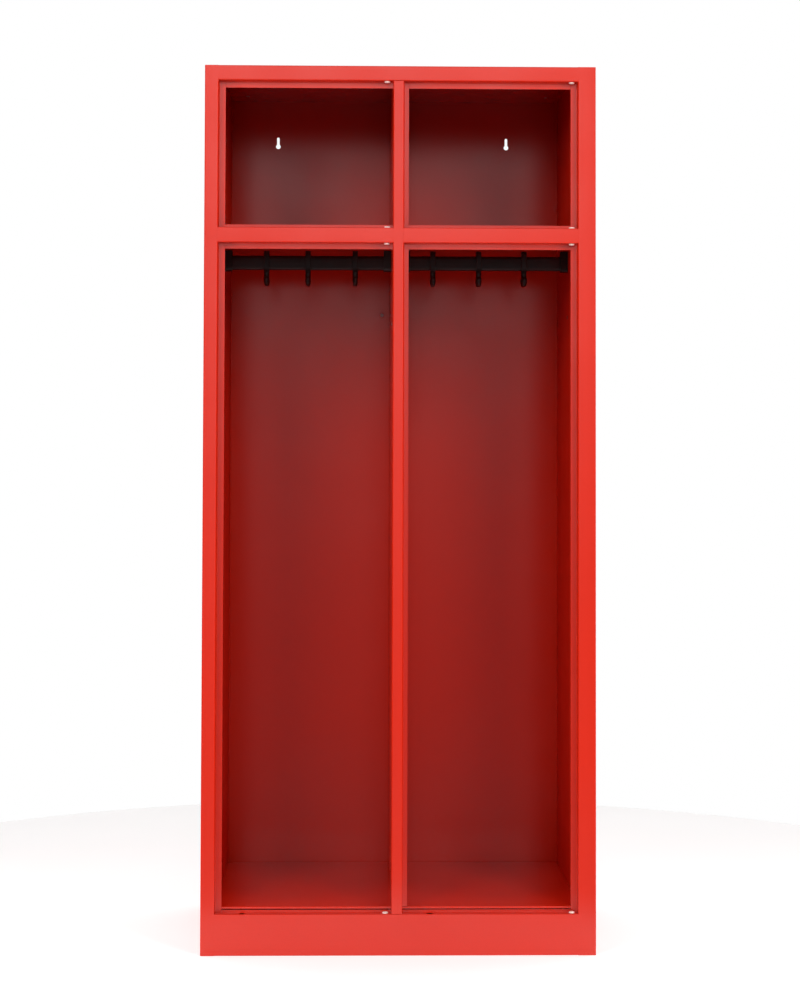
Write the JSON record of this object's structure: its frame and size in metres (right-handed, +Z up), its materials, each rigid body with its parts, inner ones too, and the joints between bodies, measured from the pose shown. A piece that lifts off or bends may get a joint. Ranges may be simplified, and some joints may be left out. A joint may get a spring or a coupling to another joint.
{
  "type": "school locker",
  "caption": "Open-fronted sheet-steel locker with paired bays, each a hat compartment over a hanging space with sliding coat hooks.",
  "frame": {"origin": "middle of the footprint, on the ground", "axes": "+Z up, -Y towards the open front, +X to the right as seen from the front"},
  "size_m": [0.82, 0.5001, 1.85],
  "materials": {
    "red_powder_coat": "semi-gloss powder coat",
    "black_rail_coat": "satin black coat",
    "black_plastic": "moulded, low gloss",
    "pale_bush_plastic": "moulded nylon, satin",
    "zinc_fastener": "zinc plated"
  },
  "bodies": {
    "cabinet": {"side_panel_left": "red_powder_coat", "side_panel_right": "red_powder_coat", "side_liner_left": "red_powder_coat", "side_liner_right": "red_powder_coat", "partition_left_skin": "red_powder_coat", "partition_right_skin": "red_powder_coat", "top_panel": "red_powder_coat", "back_panel": "red_powder_coat", "floor_panel": "red_powder_coat", "plinth_panel": "red_powder_coat", "base_channel_left": "red_powder_coat", "base_channel_centre": "red_powder_coat", "base_channel_right": "red_powder_coat", "corner_clip": "red_powder_coat", "mid_rail_left": "red_powder_coat", "mid_rail_right": "red_powder_coat", "shelf_left": "red_powder_coat", "shelf_right": "red_powder_coat", "coat_rail_left": "black_rail_coat", "coat_rail_right": "black_rail_coat", "rail_bracket_left_outer": "black_plastic", "rail_bracket_left_inner": "black_plastic", "rail_bracket_right_outer": "black_plastic", "rail_bracket_right_inner": "black_plastic", "bush_left_top": "pale_bush_plastic", "bush_left_above_rail": "pale_bush_plastic", "bush_left_below_rail": "pale_bush_plastic", "bush_left_ledge": "pale_bush_plastic", "bush_right_top": "pale_bush_plastic", "bush_right_above_rail": "pale_bush_plastic", "bush_right_below_rail": "pale_bush_plastic", "bush_right_ledge": "pale_bush_plastic", "bracket_screw_left_outer": "zinc_fastener", "bracket_screw_left_inner": "zinc_fastener", "bracket_screw_right_outer": "zinc_fastener", "bracket_screw_right_inner": "zinc_fastener", "back_rivet_left_1": "zinc_fastener", "back_rivet_left_2": "zinc_fastener", "back_rivet_left_3": "zinc_fastener", "back_rivet_left_4": "zinc_fastener", "back_rivet_left_5": "zinc_fastener", "back_rivet_right_1": "zinc_fastener", "back_rivet_right_2": "zinc_fastener", "back_rivet_right_3": "zinc_fastener", "back_rivet_right_4": "zinc_fastener", "back_rivet_right_5": "zinc_fastener", "ceiling_rivet_left": "zinc_fastener", "ceiling_rivet_right": "zinc_fastener", "partition_rivet": "zinc_fastener", "side_wall_rivet": "zinc_fastener", "back_wall_rivet": "zinc_fastener"},
    "hook_left_1": {"hook_left_1": "black_plastic"},
    "hook_left_2": {"hook_left_2": "black_plastic"},
    "hook_left_3": {"hook_left_3": "black_plastic"},
    "hook_right_1": {"hook_right_1": "black_plastic"},
    "hook_right_2": {"hook_right_2": "black_plastic"},
    "hook_right_3": {"hook_right_3": "black_plastic"}
  },
  "joints": [
    {"name": "hook_left_1_slide", "type": "slide", "parent": "cabinet", "child": "hook_left_1", "axis": [1, 0, 0], "range_m": [-0.0685, 0.039]},
    {"name": "hook_left_2_slide", "type": "slide", "parent": "cabinet", "child": "hook_left_2", "axis": [1, 0, 0], "range_m": [-0.039, 0.0455]},
    {"name": "hook_left_3_slide", "type": "slide", "parent": "cabinet", "child": "hook_left_3", "axis": [1, 0, 0], "range_m": [-0.0455, 0.0555]},
    {"name": "hook_right_1_slide", "type": "slide", "parent": "cabinet", "child": "hook_right_1", "axis": [1, 0, 0], "range_m": [-0.0435, 0.044]},
    {"name": "hook_right_2_slide", "type": "slide", "parent": "cabinet", "child": "hook_right_2", "axis": [1, 0, 0], "range_m": [-0.044, 0.0435]},
    {"name": "hook_right_3_slide", "type": "slide", "parent": "cabinet", "child": "hook_right_3", "axis": [1, 0, 0], "range_m": [-0.0435, 0.0735]}
  ]
}
